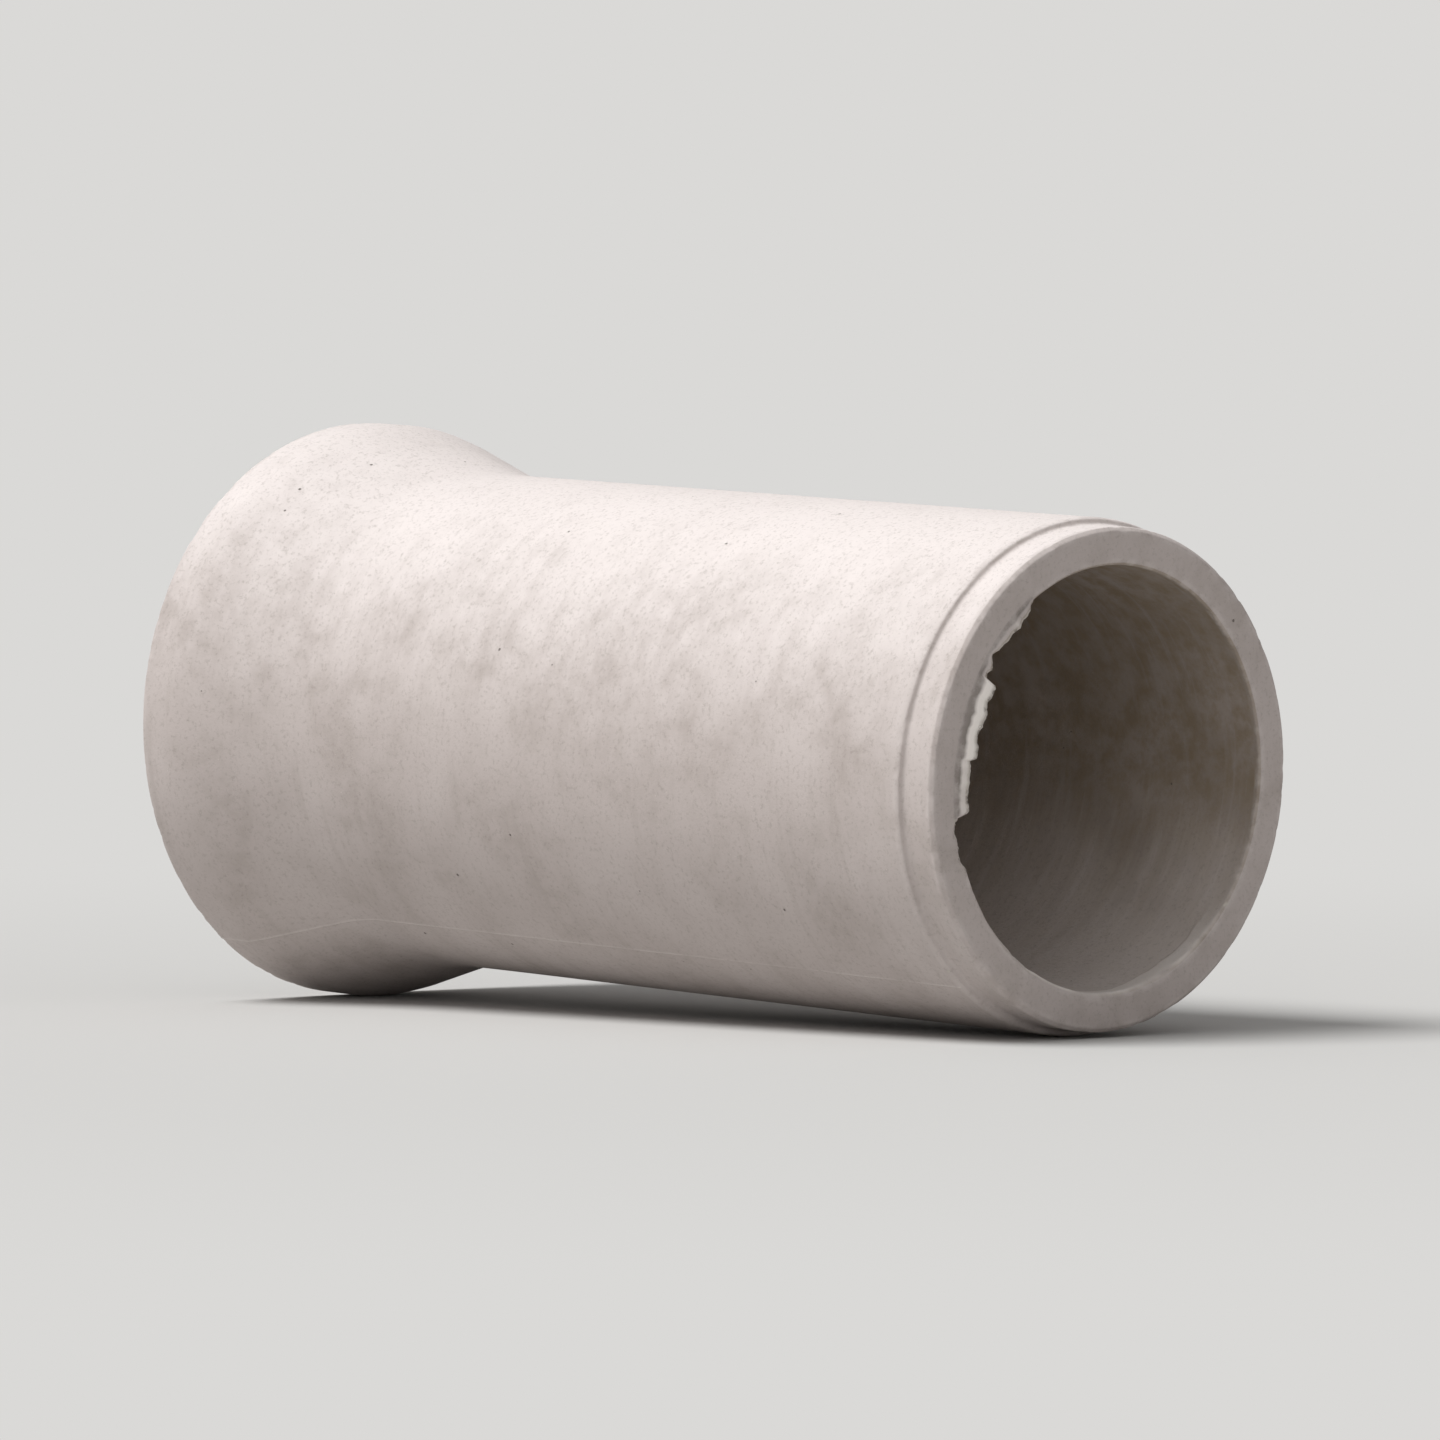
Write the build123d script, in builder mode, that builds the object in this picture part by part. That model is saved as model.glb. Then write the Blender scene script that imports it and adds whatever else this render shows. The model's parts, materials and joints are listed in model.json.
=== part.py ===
"""Bell-and-spigot concrete drainage pipe, cast in one piece, lying on a level floor.

Millimetres, +Z up. The pipe runs along +Y, spigot first and bell last. It rests on two
circles, the edge of the step behind the spigot and the rounded top of the flare, so its
axis climbs a little towards the bell. The origin is on the floor, under the middle.
"""

import os
from math import asin, atan2, cos, degrees, hypot, sin, tan

from build123d import *

# Barrel
bore_diameter = 800.0
barrel_wall = 86.0
laying_length = 2000.0

# Spigot, a band of smaller diameter that enters the next pipe's bell
spigot_length = 75.0
spigot_step = 14.0

# Socket inside the bell, with an all-round gap to the spigot for the rubber ring
socket_depth = 110.0
ring_gap = 12.0
lead_in_length = 40.0
lead_in_height = 10.0

# Bell and the flare that carries it
bell_wall = 86.0
bell_length = 100.0
flare_length = 270.0
flare_foot_radius = 300.0
flare_top_radius = 80.0

# Bevels that the end rings of the mould leave on the edges
spigot_bore_bevel = 6.0
spigot_rim_bevel = 8.0
step_bevel = 4.0
bell_rim_bevel = 10.0
seat_corner_bevel = 12.0
shoulder_bevel = 5.0

# Radii, and stations along the axis from the spigot's face
bore_radius = bore_diameter / 2
barrel_radius = bore_radius + barrel_wall
spigot_radius = barrel_radius - spigot_step
seat_radius = spigot_radius + ring_gap
mouth_radius = seat_radius + lead_in_height
bell_radius = seat_radius + bell_wall
total_length = laying_length + socket_depth
lead_in_start = total_length - lead_in_length
bell_start = total_length - bell_length
flare_start = bell_start - flare_length

# Corners of the half section: station along the axis, and radius
spigot_bore_edge = (0, bore_radius)
spigot_rim = (0, spigot_radius)
step_foot = (spigot_length, spigot_radius)
step_edge = (spigot_length, barrel_radius)
flare_foot = (flare_start, barrel_radius)
flare_top = (bell_start, bell_radius)
bell_rim = (total_length, bell_radius)
mouth_edge = (total_length, mouth_radius)
lead_in_end = (lead_in_start, seat_radius)
seat_corner = (laying_length, seat_radius)
shoulder_edge = (laying_length, bore_radius)

bevels = {
    spigot_bore_edge: spigot_bore_bevel,
    spigot_rim: spigot_rim_bevel,
    step_edge: step_bevel,
    bell_rim: bell_rim_bevel,
    seat_corner: seat_corner_bevel,
    shoulder_edge: shoulder_bevel,
}
curves = {
    flare_foot: flare_foot_radius,
    flare_top: flare_top_radius,
}

# Line of the floor: from the bevelled step edge, tangent to the arc at the flare's top
flare_slope = atan2(bell_radius - barrel_radius, flare_length)
foot_station = spigot_length + step_bevel
arc_station = bell_start + flare_top_radius * tan(flare_slope / 2)
reach = arc_station - foot_station
rise = bell_radius - flare_top_radius - barrel_radius
tilt = atan2(rise, reach) + asin(flare_top_radius / hypot(reach, rise))

# Where the axis starts: so high that the step edge touches, so far back that the pipe is centred
axis_height = barrel_radius * cos(tilt) - foot_station * sin(tilt)
front_overhang = (spigot_radius - spigot_rim_bevel) * sin(tilt)
back_overhang = (bell_radius - bell_rim_bevel) * sin(tilt)
axis_start = (front_overhang - back_overhang - total_length * cos(tilt)) / 2

# Plane of the half section: X runs along the axis, Y out to the crown
section_plane = Plane(
    origin=(0, axis_start, axis_height),
    x_dir=(0, cos(tilt), sin(tilt)),
    z_dir=(1, 0, 0),
)
pipe_axis = Axis(section_plane.origin, section_plane.x_dir)

os.makedirs("parts", exist_ok=True)

# Pipe: the half section turned once about the axis
with BuildPart() as pipe:
    with BuildSketch(section_plane) as half_section:
        with BuildLine():
            Polyline(
                spigot_bore_edge,
                spigot_rim,
                step_foot,
                step_edge,
                flare_foot,
                flare_top,
                bell_rim,
                mouth_edge,
                lead_in_end,
                seat_corner,
                shoulder_edge,
                close=True,
            )
        make_face()
        for corner, size in bevels.items():
            chamfer(half_section.vertices().sort_by_distance(corner)[0], size)
        for corner, size in curves.items():
            fillet(half_section.vertices().sort_by_distance(corner)[0], size)
    revolve(axis=pipe_axis)

pipe.part.label = "pipe"
export_step(pipe.part, "parts/pipe.step")

print(f"axis climbs {degrees(tilt):.3f} degrees and starts at y {axis_start:.2f}, z {axis_height:.2f}")
print(f"extent {pipe.part.bounding_box()}")
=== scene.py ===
"""Cast concrete culvert pipe with bell and spigot, and a plain studio to show it in.

Metres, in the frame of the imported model. The casting is turned from the model's own half section,
and gets what the mould and the yard leave on it: rounded arrises, chips, a mortar fin, lips and seams.
"""

import json
from math import atan2, cos, pi, radians, sin, tan
from types import SimpleNamespace

import bpy
import numpy as np
from bpy.props import FloatProperty, FloatVectorProperty, IntProperty, PointerProperty
from mathutils import Matrix, Vector, noise


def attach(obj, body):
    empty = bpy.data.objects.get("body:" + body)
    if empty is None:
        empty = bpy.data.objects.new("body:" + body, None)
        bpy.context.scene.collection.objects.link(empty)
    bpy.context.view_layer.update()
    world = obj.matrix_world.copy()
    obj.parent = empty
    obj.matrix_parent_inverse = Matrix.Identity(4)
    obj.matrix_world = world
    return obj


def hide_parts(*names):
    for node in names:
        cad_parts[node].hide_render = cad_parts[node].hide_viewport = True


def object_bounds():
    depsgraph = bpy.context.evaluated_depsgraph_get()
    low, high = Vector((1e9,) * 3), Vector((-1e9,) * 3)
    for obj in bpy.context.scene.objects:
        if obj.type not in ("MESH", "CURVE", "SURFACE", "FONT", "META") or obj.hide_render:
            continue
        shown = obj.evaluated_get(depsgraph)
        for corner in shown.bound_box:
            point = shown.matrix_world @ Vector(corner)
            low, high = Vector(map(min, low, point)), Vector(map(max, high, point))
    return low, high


bl_info = {
    "name": "Cast Culvert Pipe",
    "version": (1, 0, 0),
    "blender": (4, 5, 0),
    "location": "3D View > Sidebar > Culvert Pipe",
    "description": "Casts a concrete culvert pipe with bell and spigot, and sets a plain studio round it",
    "category": "Add Mesh",
}

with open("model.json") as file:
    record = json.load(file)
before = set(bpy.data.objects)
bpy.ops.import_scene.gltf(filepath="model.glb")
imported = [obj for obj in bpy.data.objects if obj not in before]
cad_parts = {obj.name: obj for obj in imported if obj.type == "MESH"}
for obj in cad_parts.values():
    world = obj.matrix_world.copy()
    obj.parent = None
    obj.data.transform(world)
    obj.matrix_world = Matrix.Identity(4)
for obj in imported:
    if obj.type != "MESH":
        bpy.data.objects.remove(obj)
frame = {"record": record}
cad_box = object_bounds()
mounts = {mount["name"]: mount for mount in frame["record"]["mounts"]}

# The pipe's axis starts in the middle of the spigot's face and runs to the mouth of the bell
axis = -Vector(mounts["spigot_face"]["axis"])
bore_middle = Vector(mounts["bore"]["pos_m"])
start = bore_middle + axis * (Vector(mounts["spigot_face"]["pos_m"]) - bore_middle).dot(axis)
across = Vector((1, 0, 0))
crown = across.cross(axis)
tilt = atan2(axis.z, axis.y)


def station_of(mount, ends=0):
    """Station of a mount's middle along the axis, or of its end towards the bell (1) or the spigot (-1)."""
    half_length = mounts[mount]["dims"].get("length_mm", 0) / 2000
    return (Vector(mounts[mount]["pos_m"]) - start).dot(axis) + ends * half_length


def radius_of(mount):
    """Radius of a round mount."""
    return mounts[mount]["dims"]["r_mm"] / 1000


def linear(hex_colour):
    """Linear RGBA of an sRGB hex colour."""
    channels = [int(hex_colour[i : i + 2], 16) / 255 for i in (1, 3, 5)]
    return [c / 12.92 if c <= 0.04045 else ((c + 0.055) / 1.055) ** 2.4 for c in channels] + [1.0]


# Corners of the half section where chips sit: station along the axis, and radius
corners = {
    "spigot_bore": (0, radius_of("bore")),
    "spigot_rim": (0, radius_of("spigot")),
    "step": (station_of("barrel", -1), radius_of("barrel")),
    "bell_rim": (station_of("mouth_face"), radius_of("bell")),
    "mouth": (station_of("mouth_face"), radius_of("socket")),
    "shoulder": (station_of("socket_shoulder"), radius_of("bore")),
}

# Back corner of the socket, which is painted darker as shade
seat_corner = (corners["shoulder"][0], radius_of("socket"))

# Soft corners of the step behind the spigot, each with how far it is worn away on a slant, or filled up where
# that is below zero, and how far round it this reaches
slant = radians(45)
soft_corners = (
    ((corners["step"][0], radius_of("spigot")), -0.007, 0.022),
    (corners["step"], 0.002, 0.014),
)

# How far off a place may be measured and still count: a ring of the CAD mesh, a point of the rounded line,
# and a point that waves and wear have moved
ring_slack = 0.001
line_slack = 0.0001
wave_slack = 0.004

# Rows of points along the section: gap at a mark, its growth away from there, and the widest gap. Nearer to a
# mark than the fine band, every column runs on
mark_gap = 0.002
gap_growth = 0.28
widest_gap = 0.06
fine_band = 0.036

# Columns round the axis, and out of how many of them the plain rows keep one
column_count = 540
coarse_share = 3

# Seams of the form, as turns about the axis, where 0 is at +X and a quarter turn at the crown
seam_turns = (radians(52), radians(232))

# Columns across a seam and the clear run beside it, both in halves of its width
seam_columns = (-1.8, -1, -0.5, 0, 0.5, 1, 1.8)
seam_clearance = 2.4

# Sizes of the lumps in which the marks on the casting vary
lump_sizes = {
    "form": 0.3,
    "wear": 0.035,
    "grime": 0.07,
    "seam": 0.12,
    "lip": 0.08,
    "lip_edge": 0.09,
    "fin": 0.014,
}

# Lengths in which the fin is left: first and last turn in degrees, share of the full reach, and raggedness
fin_pieces = ((122, 151, 0.34, 0.75), (149.5, 174, 1.0, 0.14), (171, 189, 0.65, 0.2))

# Breaks in the edge of each length, the least and most turn between two of them, and the taper at its ends
break_count = 24
break_turns = (0.015, 0.06)
taper_degrees = 1.5

# Chips on the spigot's bore edge beside the fin, as turn in degrees, half width and depth
shown_chips = ((192, 0.022, 0.013), (198, 0.036, 0.008))

# Small chips of handling, as corner, how many, and the widest half width
small_chips = (
    ("spigot_bore", 4, 0.007),
    ("spigot_rim", 5, 0.009),
    ("step", 4, 0.008),
    ("bell_rim", 8, 0.013),
    ("mouth", 5, 0.010),
    ("shoulder", 18, 0.022),
)

# Narrowest small chip as a share of the widest, and depths of them as shares of their half width
narrowest_chip = 0.35
chip_depths = (0.25, 0.5)

# Lumps in a chip's scar as a share of its half width, and depths between which it comes to show aggregate
scar_lumps = 0.4
fresh_depths = (0.0002, 0.0015)

# Patterns of noise in the concrete: size of the largest lumps, how many finer steps they have, and how strong
# these are. Real sand and grit are finer than 4 mm, and are drawn coarser so that they show
mm = 0.001
noise_patterns = {
    "clouds": (200 * mm, 4, 0.55),
    "mottle": (50 * mm, 5, 0.62),
    "film": (90 * mm, 3, 0.55),
    "sand": (9 * mm, 3, 0.8),
    "grit": (5 * mm, 3, 0.6),
}

# Marks round the pipe: how far they are drawn out, how many finer steps they have, and how strong these are
drawn_out_scale = (0.09, 1, 0.09)
run_detail = 4
run_roughness = 0.6

# Air holes and pinholes, as the size of the cells they lie in and their largest radius, and broken aggregate
air_holes = (45 * mm, 3.6 * mm)
pinholes = (13 * mm, 1.4 * mm)
pebble_size = 12 * mm

# How strongly the patterns colour the skin, with painted shade in air holes and corners, and how much they
# fray the paler top of dust and painted sunlight
sand_share = 0.34
hole_shade_share = 0.75
grime_share = 0.7
crown_fray = 0.4

# Highlight of a dusty mineral surface, where 0.5 is that of a clean one
dusty_highlight = 0.25

# Heights and depths of the relief in millimetres
mottle_height = 0.6
rubble_height = 1.6
air_hole_depth = 2.2
pinhole_depth = 0.7

# Where each lamp stands, as a direction from the pipe, and how wide it looks from there
key_side = (-0.52, 0.2, 0.83)
key_spread = radians(30)
fill_side = (-0.75, -0.6, 0.3)
fill_spread = radians(60)

# Distances from the middle between which the floor passes into the backdrop's colour
fade_start = 2.0
fade_end = 7.0

# Side of the floor and reach of the camera, in distances of the camera
floor_share = 12
reach_share = 20

# Finishes of the concrete, in the order of the mesh's material slots
outer_finish = "form-cast concrete"
face_finish = "struck-off concrete"
socket_finish = "oiled core-cast concrete"
bore_finish = "core-cast concrete in painted shade"
finish_names = (outer_finish, face_finish, socket_finish, bore_finish)


# Settings that a user would change


class CastingSizes(bpy.types.PropertyGroup):
    """Sizes of what the mould and the yard leave on the casting."""

    arris: FloatProperty(
        name="Arris radius",
        description="Rounding that handling leaves on every corner of the section",
        default=0.0035,
        unit="LENGTH",
    )
    waviness: FloatProperty(
        name="Waviness",
        description="Depth of the slow waves in the steel form",
        default=0.0008,
        unit="LENGTH",
    )
    seam_height: FloatProperty(
        name="Seam height",
        description="Height of the ridge where the two half shells of the form meet",
        default=0.0012,
        unit="LENGTH",
    )
    seam_width: FloatProperty(
        name="Seam width",
        description="Width of that ridge at its foot",
        default=0.007,
        unit="LENGTH",
    )
    fin_inward: FloatProperty(
        name="Fin inward",
        description="How far the broken mortar fin reaches into the bore",
        default=0.029,
        unit="LENGTH",
    )
    fin_forward: FloatProperty(
        name="Fin forward",
        description="How far that fin stands proud of the spigot's face",
        default=0.011,
        unit="LENGTH",
    )
    lip_height: FloatProperty(
        name="Lip height",
        description="Height of the slurry lip on the bottom of the bore",
        default=0.0028,
        unit="LENGTH",
    )
    lip_reach: FloatProperty(
        name="Lip reach",
        description="How far the lip runs into the bore from each end",
        default=0.046,
        unit="LENGTH",
    )
    chip_seed: IntProperty(
        name="Chips",
        description="Number that the places of the small chips are drawn from",
        default=7,
    )


class ConcreteColours(bpy.types.PropertyGroup):
    """Colours of the cast concrete and of what lies on it."""

    skin: FloatVectorProperty(
        name="Skin",
        description="Cement skin that the steel form leaves",
        subtype="COLOR",
        size=4,
        default=linear("#B9AFAB"),
    )
    pale: FloatVectorProperty(
        name="Pale skin",
        description="Lighter clouds in the skin",
        subtype="COLOR",
        size=4,
        default=linear("#C5BCB8"),
    )
    dark: FloatVectorProperty(
        name="Dark skin",
        description="Darker clouds in the skin",
        subtype="COLOR",
        size=4,
        default=linear("#A59B95"),
    )
    speck: FloatVectorProperty(
        name="Sand specks",
        description="Sand grains and pinholes that darken the skin",
        subtype="COLOR",
        size=4,
        default=linear("#8A8179"),
    )
    # Dust on upward faces, paler than dust alone as painted sunlight
    dust_and_sunlight: FloatVectorProperty(
        name="Dust and painted sunlight",
        description="Dust and painted sunlight on upward faces",
        subtype="COLOR",
        size=4,
        default=linear("#E5DDDA"),
    )
    # Bore colour, darker than the outer skin as painted shade
    bore: FloatVectorProperty(
        name="Bore",
        description="Skin of the bore, darkened as painted shade",
        subtype="COLOR",
        size=4,
        default=linear("#897963"),
    )
    # Dried slurry, made near white so that it also carries painted sunlight on the fin's tip
    laitance_and_sunlight: FloatVectorProperty(
        name="Laitance",
        description="Dried slurry on fins and lips",
        subtype="COLOR",
        size=4,
        default=linear("#ECE5DF"),
    )
    fracture: FloatVectorProperty(
        name="Fracture",
        description="Mortar in a fresh chip",
        subtype="COLOR",
        size=4,
        default=linear("#C6BFB6"),
    )
    pebble: FloatVectorProperty(
        name="Pebble",
        description="Broken aggregate in a fresh chip",
        subtype="COLOR",
        size=4,
        default=linear("#857D73"),
    )
    # Oil stain, darkened as painted shade on the socket's wall
    oil_and_shade: FloatVectorProperty(
        name="Oil stain",
        description="Film of old release oil on the socket's wall",
        subtype="COLOR",
        size=4,
        default=linear("#85795F"),
    )
    # Colour of the painted shade in air holes, in the socket's back corner and at the fin's root
    hole: FloatVectorProperty(
        name="Air hole",
        description="Inside of an air hole",
        subtype="COLOR",
        size=4,
        default=linear("#5E5851"),
    )


class StudioSettings(bpy.types.PropertyGroup):
    """Camera, lamps and floor."""

    azimuth: FloatProperty(
        name="Azimuth",
        description="Side from which the camera looks, where 0 looks along the pipe",
        subtype="ANGLE",
        default=radians(-45.6),
    )
    elevation: FloatProperty(
        name="Elevation",
        description="How high the camera stands above the spigot's centre",
        subtype="ANGLE",
        default=radians(2.0),
    )
    distance: FloatProperty(
        name="Distance",
        description="From the camera to the middle of the spigot's face",
        default=20.7,
        unit="LENGTH",
    )
    view_width: FloatProperty(
        name="View width",
        description="Width of what the camera takes in at the pipe",
        default=2.68,
        unit="LENGTH",
    )
    key_strength: FloatProperty(
        name="Key lamp",
        description="Strength of the soft light from overhead",
        default=2.85,
        min=0.0,
    )
    fill_strength: FloatProperty(
        name="Fill lamp",
        description="Strength of the soft light from the camera's side",
        default=0.4,
        min=0.0,
    )
    sky_strength: FloatProperty(
        name="Sky",
        description="Strength of the even light from all round",
        default=0.37,
        min=0.0,
    )
    floor: FloatVectorProperty(
        name="Floor",
        description="Pale studio floor",
        subtype="COLOR",
        size=4,
        default=linear("#C8C7C5"),
    )
    backdrop: FloatVectorProperty(
        name="Backdrop",
        description="What the camera sees past the floor",
        subtype="COLOR",
        size=4,
        default=linear("#DAD9D7"),
    )


# Half section of the casting


def section_of(node):
    """Loop of (station, radius) of a turned CAD node: through the bore, then up the spigot's face."""
    points = np.array([vertex.co for vertex in node.data.vertices]) - np.array(start)
    stations = points @ np.array(axis)
    radii = np.linalg.norm(points - np.outer(stations, axis), axis=1)
    rings, ring_of = np.unique(np.round(np.column_stack((stations, radii)), 4), axis=0, return_inverse=True)
    ring_of = ring_of.ravel()
    beside = {ring: set() for ring in range(len(rings))}
    for edge in node.data.edges:
        one, other = (int(ring_of[vertex]) for vertex in edge.vertices)
        if one != other:
            beside[one].add(other)
            beside[other].add(one)
    in_bore = [ring for ring in beside if rings[ring][1] < radius_of("bore") + ring_slack]
    walk = sorted(in_bore, key=lambda ring: -rings[ring][0])
    while len(walk) < len(rings):
        ahead = [ring for ring in beside[walk[-1]] if ring not in walk]
        if not ahead:
            raise RuntimeError("the rings of the CAD pipe make no closed section")
        walk.append(min(ahead, key=lambda ring: np.linalg.norm(rings[ring] - rings[walk[-1]])))
    return rings[walk]


def rounded(loop, radius, sharp=radians(12), arc_points=5, most_of_side=0.4):
    """Closed line with an arc in each sharp corner, the lengths along it, and the length at each arc."""
    points = []
    arcs = []
    for before, corner, after in zip(np.roll(loop, 1, 0), loop, np.roll(loop, -1, 0)):
        back = before - corner
        ahead = after - corner
        back_run = np.linalg.norm(back)
        ahead_run = np.linalg.norm(ahead)
        turn = pi - np.arccos(np.dot(back, ahead) / back_run / ahead_run)
        if turn < sharp:
            points.append(corner)
            continue
        reach = min(radius * tan(turn / 2), most_of_side * back_run, most_of_side * ahead_run)
        first = corner + back / back_run * reach
        last = corner + ahead / ahead_run * reach
        arcs.append(len(points) + arc_points // 2)
        for t in np.linspace(0, 1, arc_points):
            points.append((1 - t) ** 2 * first + 2 * t * (1 - t) * corner + t * t * last)
    line = np.array(points + points[:1])
    lengths = np.concatenate(([0], np.cumsum(np.linalg.norm(np.diff(line, axis=0), axis=1))))
    return line, lengths, lengths[arcs]


def graded(length, marks, finest, growth, coarsest):
    """Places from 0 to length that lie close together at the marks and wider apart between them."""
    places = [0.0]
    while places[-1] < length:
        gap = np.min(np.abs(marks - places[-1]))
        places.append(places[-1] + min(coarsest, finest + growth * gap))
    return np.array(places[:-1]) * (length / places[-1])


# Skin of the casting: rows along the section, columns round the axis


def smooth(value, low, high):
    """Smooth step from 0 at low to 1 at high."""
    share = np.clip((value - low) / (high - low), 0, 1)
    return share * share * (3 - 2 * share)


def ripple(points, size, octaves=3, smoothness=0.8, step=2.0):
    """Noise from 0 to 1 at each point, for lumps of a size in metres."""
    values = [noise.fractal(Vector(point) / size, smoothness, step, octaves) for point in points]
    return np.clip(np.array(values) * 0.5 + 0.5, 0, 1)


def rows_of(node, sizes):
    """Rows along the section.

    Gives their length along it, place and outward direction, and how far off the next arris and mark are.
    """
    line, lengths, arrises = rounded(section_of(node), sizes.arris)
    in_bore = np.flatnonzero(line[:-1, 1] < radius_of("bore") + line_slack)
    lip_ends = np.array([station_of("socket_shoulder") - sizes.lip_reach, sizes.lip_reach])
    lips = np.interp(-lip_ends, -line[in_bore, 0], lengths[in_bore])
    arrises = np.concatenate([arrises + shift for shift in (-lengths[-1], 0, lengths[-1])])
    marks = np.concatenate((arrises, lips))
    rows = graded(lengths[-1], marks, mark_gap, gap_growth, widest_gap)
    section = np.column_stack([np.interp(rows, lengths, line[:, k]) for k in (0, 1)])
    ahead = np.roll(section, -1, 0) - np.roll(section, 1, 0)
    ahead /= np.linalg.norm(ahead, axis=1)[:, None]
    outward = np.column_stack((-ahead[:, 1], ahead[:, 0]))
    to_arris, to_mark = (np.min(np.abs(rows[:, None] - places), axis=1) for places in (arrises, marks))
    return rows, section, outward, to_arris, to_mark


def columns_of(sizes):
    """Turns of the columns, with extra ones at the seams, and which of them the plain rows keep."""
    even = np.arange(column_count) * 2 * pi / column_count
    half_turn = sizes.seam_width / 2 / radius_of("barrel")
    apart = np.min(np.abs(even[:, None] - np.array(seam_turns)), axis=1) > half_turn * seam_clearance
    plain = np.column_stack((even, np.arange(column_count) % coarse_share == 0))[apart]
    extra = [(seam + place * half_turn, True) for seam in seam_turns for place in seam_columns]
    both = np.concatenate((plain, extra))
    both = both[np.argsort(both[:, 0])]
    return both[:, 0], np.flatnonzero(both[:, 1])


def row_at(skin, corner):
    """Row of the section nearest to a corner."""
    return int(np.argmin(np.linalg.norm(skin.section - np.array(corner), axis=1)))


def skin_of(node, sizes):
    """Points of the plain turned skin, each with its row, turn and place on the section."""
    rows, section, outward, to_arris, to_mark = rows_of(node, sizes)
    turns, kept = columns_of(sizes)
    picks = [np.arange(len(turns)) if run < fine_band else kept for run in to_mark]
    row_of = np.repeat(np.arange(len(rows)), [len(pick) for pick in picks])
    turn = turns[np.concatenate(picks)]
    skin = SimpleNamespace(rows=rows, section=section, outward=outward, picks=picks, row=row_of, turn=turn)
    skin.place = section[row_of].copy()
    skin.out = outward[row_of]
    skin.near = to_arris[row_of]
    skin.broken = np.zeros(len(turn))
    skin.paste = np.zeros(len(turn))
    skin.grime = np.zeros(len(turn))
    return skin


def points_of(skin):
    """Points of the skin in the frame."""
    ring = np.outer(np.cos(skin.turn), across) + np.outer(np.sin(skin.turn), crown)
    return np.array(start) + np.outer(skin.place[:, 0], axis) + ring * skin.place[:, 1:]


def wave(skin, sizes, wear_reach=0.012, most_wear=0.5):
    """Slow waves of the steel form and the wear of the arrises, both into the concrete."""
    points = points_of(skin)
    depth = sizes.waviness * ripple(points, lump_sizes["form"])
    beside_arris = 1 - smooth(skin.near, 0, wear_reach)
    patchy = smooth(ripple(points, lump_sizes["wear"]), 0.5, 0.9)
    depth += sizes.arris * most_wear * beside_arris * patchy
    skin.place -= skin.out * depth[:, None]


def soften_step(skin):
    """Slurry in the corner behind the spigot and wear on the edge above it, which soften the step."""
    for corner, inward, reach in soft_corners:
        near = np.clip(1 - np.linalg.norm(skin.place - np.array(corner), axis=1) / reach, 0, 1)
        skin.place += np.outer(near * near * inward, (cos(slant), -sin(slant)))


def settle_grime(skin, most=0.65, thinnest=0.4, root=0.001, reach=0.014):
    """Painted shade in the back corner of the socket, darker in some places."""
    away = np.linalg.norm(skin.place - np.array(seat_corner), axis=1)
    patchy = thinnest + (1 - thinnest) * smooth(ripple(points_of(skin), lump_sizes["grime"]), 0.35, 0.65)
    skin.grime = most * patchy * (1 - smooth(away, root, reach))


def raise_seams(skin, sizes, lowest=0.35, most_paste=0.25):
    """Thin uneven ridges along the outside, where the half shells of the form meet."""
    outside = (skin.out[:, 1] > 0.3) & (skin.place[:, 0] > corners["step"][0])
    gap = np.min(np.abs(skin.turn[:, None] - np.array(seam_turns)), axis=1) * skin.place[:, 1]
    ridge = 1 - smooth(gap, 0, sizes.seam_width / 2)
    uneven = lowest + (1 - lowest) * smooth(ripple(points_of(skin), lump_sizes["seam"]), 0.3, 0.7)
    skin.place[:, 1] += np.where(outside, sizes.seam_height * ridge * uneven, 0)
    skin.paste = np.maximum(skin.paste, np.where(outside, most_paste * ridge * uneven, 0))


def raise_lips(skin, sizes, raggedness=0.016, inner_slope=0.008, outer_slope=0.012, most_paste=0.6):
    """Slurry lips on the bottom of the bore, at the spigot and at the socket's shoulder."""
    points = points_of(skin)
    in_bore = (skin.out[:, 1] < -0.5) & (skin.place[:, 1] < radius_of("bore") + wave_slack)
    ragged = (ripple(points, lump_sizes["lip_edge"]) - 0.5) * raggedness
    from_spigot = skin.place[:, 0] + ragged
    from_shoulder = station_of("socket_shoulder") - skin.place[:, 0] + ragged
    bottom = smooth(-np.sin(skin.turn), 0.55, 0.9)
    for run in (from_spigot, from_shoulder):
        inner = 1 - smooth(run, sizes.lip_reach - inner_slope, sizes.lip_reach)
        lip = inner * smooth(run, 0, outer_slope)
        lip = np.where(in_bore, lip * bottom, 0)
        skin.place[:, 1] -= lip * sizes.lip_height * (0.7 + 0.6 * ripple(points, lump_sizes["lip"]))
        skin.paste = np.maximum(skin.paste, most_paste * lip)


def fin_share(turn, seed):
    """Share of its reach that the broken mortar fin has at each turn about the axis."""
    share = np.zeros(len(turn))
    draw = np.random.default_rng(seed)
    for first, last, reach, ragged in fin_pieces:
        start_slope = smooth(turn, radians(first), radians(first + taper_degrees))
        end_slope = 1 - smooth(turn, radians(last - taper_degrees), radians(last))
        breaks = radians(first) + np.cumsum(draw.uniform(*break_turns, break_count))
        edge = np.interp(turn, breaks, draw.uniform(1 - ragged, 1 + ragged, break_count))
        share = np.maximum(share, reach * start_slope * end_slope * edge)
    return share


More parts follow.
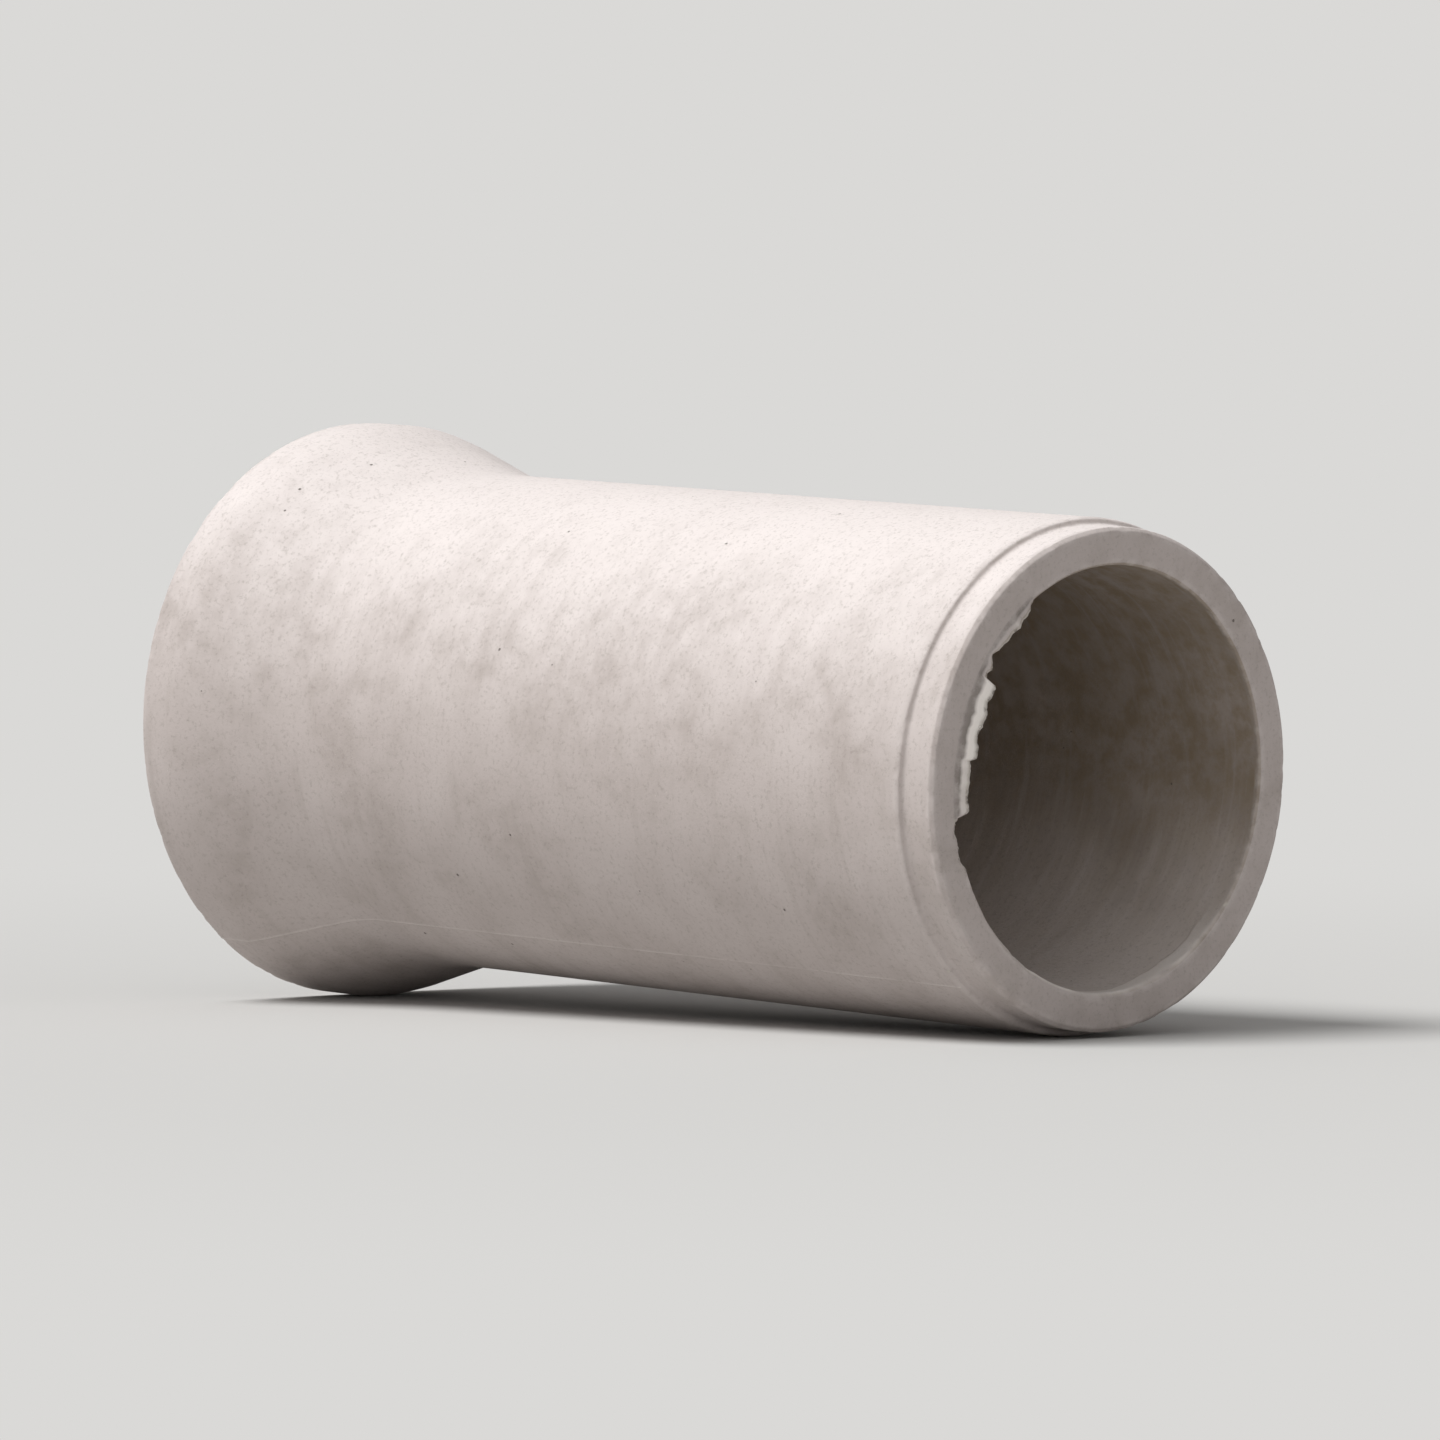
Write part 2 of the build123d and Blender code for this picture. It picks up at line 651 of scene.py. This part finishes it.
def grow_fin(skin, sizes, root=0.012, face_root=0.004, thickness=0.005, roughness=0.003):
    """Mortar fin on the bore's edge at the spigot, which stands proud of the face and leans into the bore."""
    edge = row_at(skin, corners["spigot_bore"])
    lean = (skin.rows[skin.row] - skin.rows[edge]) / root
    share = fin_share(skin.turn, sizes.chip_seed)
    on_fin = (np.abs(lean) < 1) & (share > 0.01)
    lean = lean[on_fin]
    share = share[on_fin][:, None]
    on_face = (face_root, radius_of("bore") + root)
    on_bore = (root, radius_of("bore"))
    foot = np.where(lean[:, None] > 0, on_face, on_bore)
    tip = np.array((0, radius_of("bore"))) - share * (sizes.fin_forward, sizes.fin_inward)
    rise = 1 - np.abs(lean)[:, None]
    across_fin = np.array((-1, 0.4))
    side = across_fin * thickness / 2 * np.sign(lean)[:, None] * smooth(rise, 0, 0.6)
    grown = foot + (tip - foot) * rise + side
    there = smooth(share, 0.02, 0.2) * smooth(rise, 0, 0.2)
    rough = (ripple(points_of(skin)[on_fin], lump_sizes["fin"])[:, None] - 0.5) * roughness * there
    skin.place[on_fin] += (grown - skin.place[on_fin]) * there + rough
    above_root = smooth(rise, 0.35, 0.5)
    # Pale slurry colour on the fin's upper part, which also stands in as painted sunlight on its tip
    pale = there * above_root * smooth(share, 0.3, 0.95)
    # Painted shade on the face side of the fin's root
    shade = there * smooth(rise, 0.05, 0.2) * (1 - above_root)
    skin.paste[on_fin] = np.maximum(skin.paste[on_fin], pale[:, 0])
    skin.broken[on_fin] = (there * smooth(rise, 0.92, 1))[:, 0]
    skin.grime[on_fin] = np.where(lean > 0, shade[:, 0], skin.grime[on_fin])


def chips_of(skin, sizes):
    """Row, turn, half width and depth of each chip: those beside the fin, then the small ones of handling."""
    spigot_bore = row_at(skin, corners["spigot_bore"])
    chips = [(spigot_bore, radians(turn), width, depth) for turn, width, depth in shown_chips]
    draw = np.random.default_rng(sizes.chip_seed)
    for corner, count, widest in small_chips:
        for _ in range(count):
            width = widest * draw.uniform(narrowest_chip, 1)
            turn = draw.uniform(0, 2 * pi)
            depth = width * draw.uniform(*chip_depths)
            chips.append((row_at(skin, corners[corner]), turn, width, depth))
    return chips


def chip(skin, points, row, turn, width, depth, margin=1.1):
    """Presses the points in an uneven ball on the arris out of it, which leaves a shell-shaped scar."""
    ball = (width * width + depth * depth) / (2 * depth)
    ring = np.array(across) * cos(turn) + np.array(crown) * sin(turn)
    out = np.array(axis) * skin.outward[row][0] + ring * skin.outward[row][1]
    edge = np.array(start) + np.array(axis) * skin.section[row][0] + ring * skin.section[row][1]
    centre = edge + out * (ball - depth)
    away = points - centre
    run = np.linalg.norm(away, axis=1)
    hit = np.flatnonzero(run < ball * margin)
    uneven = ball + depth * (ripple(points[hit], width * scar_lumps) - 0.5)
    push = np.clip(uneven - run[hit], 0, None)
    points[hit] += away[hit] / run[hit][:, None] * push[:, None]
    skin.broken[hit] = np.maximum(skin.broken[hit], smooth(push, *fresh_depths))


def faces_of(skin):
    """Faces between neighbouring rows, as point numbers, and the row of each face."""
    firsts = np.concatenate(([0], np.cumsum([len(pick) for pick in skin.picks])))
    faces, face_rows = [], []
    for row, pick in enumerate(skin.picks):
        following = (row + 1) % len(skin.picks)
        other = skin.picks[following]
        shared = pick if len(pick) <= len(other) else other
        ends = np.append(shared[1:], shared[0])
        sides = []
        for columns, first in ((pick, firsts[row]), (other, firsts[following])):
            at = np.searchsorted(columns, shared)
            until = np.searchsorted(columns, ends)
            until[-1] = len(columns)
            sides.append([[first + k % len(columns) for k in range(a, b + 1)] for a, b in zip(at, until)])
        faces += [own[:1] + far + own[:0:-1] for own, far in zip(*sides)]
        face_rows += [row] * len(shared)
    return faces, np.array(face_rows)


def zones_of(skin, mostly=0.7):
    """Number of the finish that each row of faces gets, by its place and the way it mostly faces."""
    station, radius = skin.section.T
    ahead, out = skin.outward.T
    zones = np.full(len(station), finish_names.index(outer_finish))
    at_ends = (station < corners["step"][0] / 2) | (station > corners["shoulder"][0] - ring_slack)
    inside = out < -mostly
    wide = radius > radius_of("spigot")
    zones[(np.abs(ahead) > mostly) & at_ends] = finish_names.index(face_finish)
    zones[inside & wide] = finish_names.index(socket_finish)
    zones[inside & ~wide] = finish_names.index(bore_finish)
    return zones


def cast(node, sizes):
    """Mesh of the casting, with what is broken, pasted over or worn on it, and its painted shade and
    sunlight, as attributes.
    """
    skin = skin_of(node, sizes)
    wave(skin, sizes)
    soften_step(skin)
    settle_grime(skin)
    raise_seams(skin, sizes)
    raise_lips(skin, sizes)
    grow_fin(skin, sizes)
    points = points_of(skin)
    for row, turn, width, depth in chips_of(skin, sizes):
        chip(skin, points, row, turn, width, depth)
    faces, face_rows = faces_of(skin)
    mesh = bpy.data.meshes.new("cast pipe")
    mesh.from_pydata(points.tolist(), [], faces)
    mesh.polygons.foreach_set("material_index", zones_of(skin)[face_rows])
    mesh.shade_smooth()
    worn = 1 - smooth(skin.near, sizes.arris, sizes.arris * 3)
    masks = {"broken": skin.broken, "paste": skin.paste, "grime": skin.grime, "worn": worn}
    for name, values in masks.items():
        mesh.attributes.new(name, "FLOAT", "POINT").data.foreach_set("value", values)
    if mesh.validate():
        raise RuntimeError("the cast mesh has faces that Blender had to mend")
    return mesh


# Finishes of the concrete


def bare_tree(owner):
    """Node tree of a material or a world, with no node left in it."""
    owner.use_nodes = True
    owner.node_tree.nodes.clear()
    return owner.node_tree


def add(tree, kind, inputs=None, output=0, **settings):
    """Adds a node with its settings and links, and gives one of its outputs.

    An input is a value or another node's output, which is then linked to it.
    """
    node = tree.nodes.new(f"ShaderNode{kind}")
    for name, value in settings.items():
        setattr(node, name, value)
    for key, value in (inputs or {}).items():
        if isinstance(value, bpy.types.NodeSocket):
            tree.links.new(value, node.inputs[key])
        else:
            node.inputs[key].default_value = value
    return node.outputs[output] if len(node.outputs) else None


def cells(tree, place, size):
    """Cells of a size in metres: distance to the middle of each, in sizes, and a random value for each."""
    distance = add(tree, "TexVoronoi", {"Vector": place, "Scale": 1 / size}, "Distance")
    return distance, add(tree, "SeparateColor", {0: distance.node.outputs["Color"]})


def spots(tree, place, size, widest, least_chance=0.6, edge=0.35):
    """Round spots with soft edges, one in some of the cells of a size, up to a radius in metres."""
    distance, chance = cells(tree, place, size)
    most = widest / size
    rise = {"interpolation_type": "SMOOTHSTEP"}
    radius = add(tree, "MapRange", {0: chance, 1: least_chance, 2: 1, 3: 0, 4: most}, **rise)
    inside = add(tree, "Math", {0: radius, 1: distance}, operation="SUBTRACT")
    return add(tree, "MapRange", {0: inside, 1: 0, 2: most * edge, 3: 0, 4: 1}, **rise)


def concrete(name, colours, finish):
    """Cast concrete with clouds, marks, air holes, dust with painted sunlight on upward faces, and painted
    shade, broken and pasted where the mesh says so.
    """
    material = bpy.data.materials.new(name)
    tree = bare_tree(material)

    # Coordinates along the pipe, from the middle of the spigot's face, and the same drawn out round the pipe
    turned = Matrix.Rotation(-tilt, 3, "X")
    frame_place = add(tree, "TexCoord", output="Object")
    mapping = {"Vector": frame_place, "Location": turned @ -start, "Rotation": (-tilt, 0, 0)}
    place = add(tree, "Mapping", mapping)
    drawn_out = add(tree, "Mapping", {"Vector": place, "Scale": drawn_out_scale})

    # Patterns of noise from 0 to 1
    patterns = noise_patterns | {"runs": (finish["run_size"], run_detail, run_roughness)}
    noises = {}
    for pattern, (size, detail, roughness) in patterns.items():
        vector = drawn_out if pattern == "runs" else place
        inputs = {"Vector": vector, "Scale": 1 / size, "Detail": detail, "Roughness": roughness}
        noises[pattern] = add(tree, "TexNoise", inputs, "Fac")
    holes = spots(tree, place, *air_holes)
    pits = spots(tree, place, *pinholes)
    to_pebble, chance = cells(tree, place, pebble_size)

    # What faces upward, with ragged edges, is made paler by dust and by painted sunlight
    normal = add(tree, "NewGeometry", output="Normal")
    upward = add(tree, "SeparateXYZ", {"Vector": normal}, "Z")
    uneven = add(tree, "Math", {0: noises["clouds"], 1: noises["runs"]}, operation="ADD")
    uneven = add(tree, "Math", {0: noises["mottle"], 1: uneven}, operation="ADD")
    dust_and_light_level = add(tree, "Math", {0: uneven, 1: crown_fray, 2: upward}, operation="MULTIPLY_ADD")

    # Each share rises smoothly between two levels of a pattern, from its least to its most
    levels = {
        "clouds": (noises["clouds"], 0.3, 0.66, 0, 1),
        "skin": (noises["mottle"], 0.3, 0.7, 0.4, 0.9),
        "runs": (noises["runs"], 0.52, 0.72, 0, finish["runs"]),
        "film": (noises["film"], 0.35, 0.6, finish["oil_and_shade"] * 0.6, finish["oil_and_shade"]),
        "dust_and_light": (dust_and_light_level, 0.55, 1.6, 0, finish["dust_and_sunlight_share"]),
        "sand": (noises["sand"], 0.5, 0.7, 0, sand_share),
        "rubbed": (noises["mottle"], 0.42, 0.62, 0, 0.6),
        "pebble": (to_pebble, 0.5, 0.36, 0, 1),
        "chosen": (chance, 0.35, 0.5, 0, 1),
    }
    shares = {}
    for layer, values in levels.items():
        shares[layer] = add(tree, "MapRange", dict(enumerate(values)), interpolation_type="SMOOTHSTEP")

    # What the mesh says of painted shade, worn arrises, slurry with painted sunlight, and broken places
    grime, worn, paste, broken = (
        add(tree, "Attribute", output="Fac", attribute_name=mask)
        for mask in ("grime", "worn", "paste", "broken")
    )
    hole_shade_mix = add(tree, "Math", {0: holes, 1: hole_shade_share}, operation="MULTIPLY")
    painted_shade_mix = add(tree, "Math", {0: grime, 1: grime_share}, operation="MULTIPLY")
    rubbed = add(tree, "Math", {0: worn, 1: shares["rubbed"]}, operation="MULTIPLY")
    pebbles = add(tree, "Math", {0: shares["pebble"], 1: shares["chosen"]}, operation="MULTIPLY")
    inputs = {0: pebbles, 6: colours.fracture, 7: colours.pebble}
    fracture = add(tree, "Mix", inputs, 2, data_type="RGBA")

    # Layers of colour, each laid over those before it by its share
    layers = (
        # Clouds of drier and damper cement skin, mottled with the plain one
        (shares["clouds"], finish["pale"]),
        (shares["skin"], finish["base"]),
        # Marks drawn out round the pipe, by the form or by water that ran down
        (shares["runs"], finish["dark"]),
        # Film of old release oil, which pools in patches, made dark and even as painted shade on the socket's
        # wall
        (shares["film"], colours.oil_and_shade),
        # Upward faces made paler by dust and by painted sunlight
        (shares["dust_and_light"], colours.dust_and_sunlight),
        # Sand grains and pinholes that show through the thin skin
        (shares["sand"], colours.speck),
        # Painted shade in the air holes, in the back corner of the socket and at the fin's root
        (hole_shade_mix, colours.hole),
        (painted_shade_mix, colours.hole),
        # Arrises rubbed pale, dried slurry with painted sunlight on the fin's tip, and broken places that
        # show the aggregate
        (rubbed, colours.pale),
        (paste, colours.laitance_and_sunlight),
        (broken, fracture),
    )
    colour = finish["dark"]
    for share, coat in layers:
        colour = add(tree, "Mix", {0: share, 6: colour, 7: coat}, 2, data_type="RGBA")

    # Relief in millimetres, as the sum of each pattern times its height
    rubble = add(tree, "Math", {0: pebbles, 1: noises["grit"]}, operation="ADD")
    rubble = add(tree, "Math", {0: rubble, 1: broken}, operation="MULTIPLY")
    heights = (
        (noises["grit"], finish["grit"]),
        (noises["mottle"], mottle_height),
        (noises["runs"], finish["ring_relief"]),
        (holes, -air_hole_depth),
        (pits, -pinhole_depth),
        (rubble, rubble_height),
    )
    relief = 0.0
    for pattern, height in heights:
        relief = add(tree, "Math", {0: pattern, 1: height, 2: relief}, operation="MULTIPLY_ADD")
    bump = add(tree, "Bump", {"Height": relief, "Distance": mm})

    look = {"Roughness": finish["roughness"], "Specular IOR Level": dusty_highlight}
    surface = add(tree, "BsdfPrincipled", look | {"Base Color": colour, "Normal": bump})
    add(tree, "OutputMaterial", {"Surface": surface})
    return material


def finishes(colours):
    """What sets each finish apart: its colours, how strongly it is marked, and how fine its marks are."""
    plain = {
        "base": colours.skin,
        "pale": colours.pale,
        "dark": colours.dark,
        "runs": 0.28,
        "run_size": 30 * mm,
        "ring_relief": 0.2,
        "dust_and_sunlight_share": 0.85,
        "oil_and_shade": 0.0,
        "grit": 0.45,
        "roughness": 0.92,
    }
    return {
        # Concrete cast against the steel form: smooth warm grey, streaked down the flanks, crown nearly white
        # with dust and painted sunlight
        outer_finish: plain,
        # Concrete struck off against the end ring: even warm grey with little relief, its clouds darker than
        # the form-cast skin's as painted shade
        face_finish: plain | {"pale": colours.skin, "runs": 0.0, "dust_and_sunlight_share": 0.3, "grit": 0.35},
        # Concrete cast on the oiled core ring: yellow-brown film, darkened as painted shade, over fine turned
        # lines, a little shinier, its floor made paler by dust and painted sunlight
        socket_finish: plain
        | {
            "runs": 0.6,
            "run_size": 6 * mm,
            "ring_relief": 0.8,
            "dust_and_sunlight_share": 0.55,
            "oil_and_shade": 0.72,
            "roughness": 0.7,
        },
        # Concrete cast on the inner form: darker and browner as painted shade, with faint ring marks, and its
        # floor made paler by dust and painted sunlight
        bore_finish: plain
        | {
            "base": colours.bore,
            "pale": colours.skin,
            "runs": 0.45,
            "run_size": 22 * mm,
            "ring_relief": 0.6,
            "dust_and_sunlight_share": 0.62,
            "roughness": 0.85,
        },
    }


# Studio


def floor_material(studio):
    """Matt pale floor that keeps the shadow near the pipe and meets the backdrop's colour farther off."""
    material = bpy.data.materials.new("matt studio floor")
    tree = bare_tree(material)
    place = add(tree, "TexCoord", output="Object")
    away = add(tree, "VectorMath", {0: place}, "Value", operation="LENGTH")
    fade = {0: away, 1: fade_start, 2: fade_end, 3: 0, 4: 1}
    fade = add(tree, "MapRange", fade, interpolation_type="SMOOTHSTEP")
    seen = add(tree, "LightPath", output="Is Camera Ray")
    share = add(tree, "Math", {0: fade, 1: seen}, operation="MULTIPLY")
    matt = add(tree, "BsdfDiffuse", {"Color": studio.floor})
    far = add(tree, "Emission", {"Color": studio.backdrop})
    surface = add(tree, "MixShader", {0: share, 1: matt, 2: far})
    add(tree, "OutputMaterial", {"Surface": surface})
    return material


def set_world(studio):
    """Even light from all round, and the backdrop's colour wherever the camera looks past the floor."""
    world = bpy.data.worlds.new("studio")
    tree = bare_tree(world)
    direct = add(tree, "LightPath", output="Is Camera Ray")
    through = direct.node.outputs["Is Transmission Ray"]
    seen = add(tree, "Math", {0: direct, 1: through}, operation="MAXIMUM")
    light = add(tree, "Background", {"Color": (1, 1, 1, 1), "Strength": studio.sky_strength})
    backdrop = add(tree, "Background", {"Color": studio.backdrop, "Strength": 1.0})
    surface = add(tree, "MixShader", {0: seen, 1: light, 2: backdrop})
    add(tree, "OutputWorld", {"Surface": surface})
    bpy.context.scene.world = world


def add_lamp(name, strength, towards, spread):
    """Soft distant lamp that shines from a direction."""
    lamp = bpy.data.lights.new(name, "SUN")
    lamp.energy = strength
    lamp.angle = spread
    holder = bpy.data.objects.new(name, lamp)
    holder.rotation_mode = "QUATERNION"
    holder.rotation_quaternion = Vector(towards).to_track_quat("Z", "Y")
    bpy.context.collection.objects.link(holder)


def add_camera(studio):
    """Upright camera at the photograph's viewing angle, aimed at the middle of the pipe."""
    turn, climb = studio.azimuth, studio.elevation
    back = Vector((sin(turn) * cos(climb), -cos(turn) * cos(climb), sin(climb)))
    low, high = cad_box
    middle = (low + high) / 2
    lens = bpy.data.cameras.new("camera")
    lens.lens = lens.sensor_width * studio.distance / studio.view_width
    lens.clip_end = studio.distance * reach_share
    camera = bpy.data.objects.new("camera", lens)
    camera.location = start + back * studio.distance
    camera.rotation_mode = "QUATERNION"
    camera.rotation_quaternion = (camera.location - middle).to_track_quat("Z", "Y")
    bpy.context.collection.objects.link(camera)
    bpy.context.scene.camera = camera


# Operators, panel and the run


class CULVERT_OT_cast_pipe(bpy.types.Operator):
    """Casts the culvert pipe on the CAD pipe's section."""

    bl_idname = "culvert.cast_pipe"
    bl_label = "Cast culvert pipe"

    def execute(self, context):
        scene = context.scene
        mesh = cast(bpy.data.objects["pipe"], scene.casting_sizes)
        looks = finishes(scene.concrete_colours)
        for name in finish_names:
            mesh.materials.append(concrete(name, scene.concrete_colours, looks[name]))
        piece = bpy.data.objects.new("cast_pipe", mesh)
        context.collection.objects.link(piece)
        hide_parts("pipe")
        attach(piece, "root")
        return {"FINISHED"}


class CULVERT_OT_stage(bpy.types.Operator):
    """Sets the floor, the light and the camera."""

    bl_idname = "culvert.stage"
    bl_label = "Set the studio"

    def execute(self, context):
        studio = context.scene.studio_settings
        bpy.ops.mesh.primitive_plane_add(size=studio.distance * floor_share)
        floor = context.object
        floor.name = "floor"
        floor.data.materials.append(floor_material(studio))
        set_world(studio)
        add_lamp("key", studio.key_strength, key_side, key_spread)
        add_lamp("fill", studio.fill_strength, fill_side, fill_spread)
        add_camera(studio)
        context.scene.view_settings.view_transform = "Standard"
        return {"FINISHED"}


class CULVERT_PT_panel(bpy.types.Panel):
    """Lists the settings and the operators."""

    bl_label = "Culvert Pipe"
    bl_space_type = "VIEW_3D"
    bl_region_type = "UI"
    bl_category = "Culvert Pipe"

    def draw(self, context):
        for owner in setting_groups:
            settings = getattr(context.scene, owner)
            for name in settings.bl_rna.properties.keys():
                if name not in ("rna_type", "name"):
                    self.layout.prop(settings, name)
        for operator in operators:
            self.layout.operator(operator.bl_idname)


setting_groups = {
    "casting_sizes": CastingSizes,
    "concrete_colours": ConcreteColours,
    "studio_settings": StudioSettings,
}
operators = (CULVERT_OT_cast_pipe, CULVERT_OT_stage)


def register():
    """Registers the classes and hangs the settings on the scene."""
    for kind in (*setting_groups.values(), *operators, CULVERT_PT_panel):
        bpy.utils.register_class(kind)
    for owner, kind in setting_groups.items():
        setattr(bpy.types.Scene, owner, PointerProperty(type=kind))


def unregister():
    """Takes the settings off the scene and removes the classes."""
    for owner in setting_groups:
        delattr(bpy.types.Scene, owner)
    for kind in (CULVERT_PT_panel, *operators, *setting_groups.values()):
        bpy.utils.unregister_class(kind)


def main():
    """Builds the scene."""
    register()
    bpy.ops.culvert.cast_pipe()
    bpy.ops.culvert.stage()


if __name__ == "__main__":
    main()
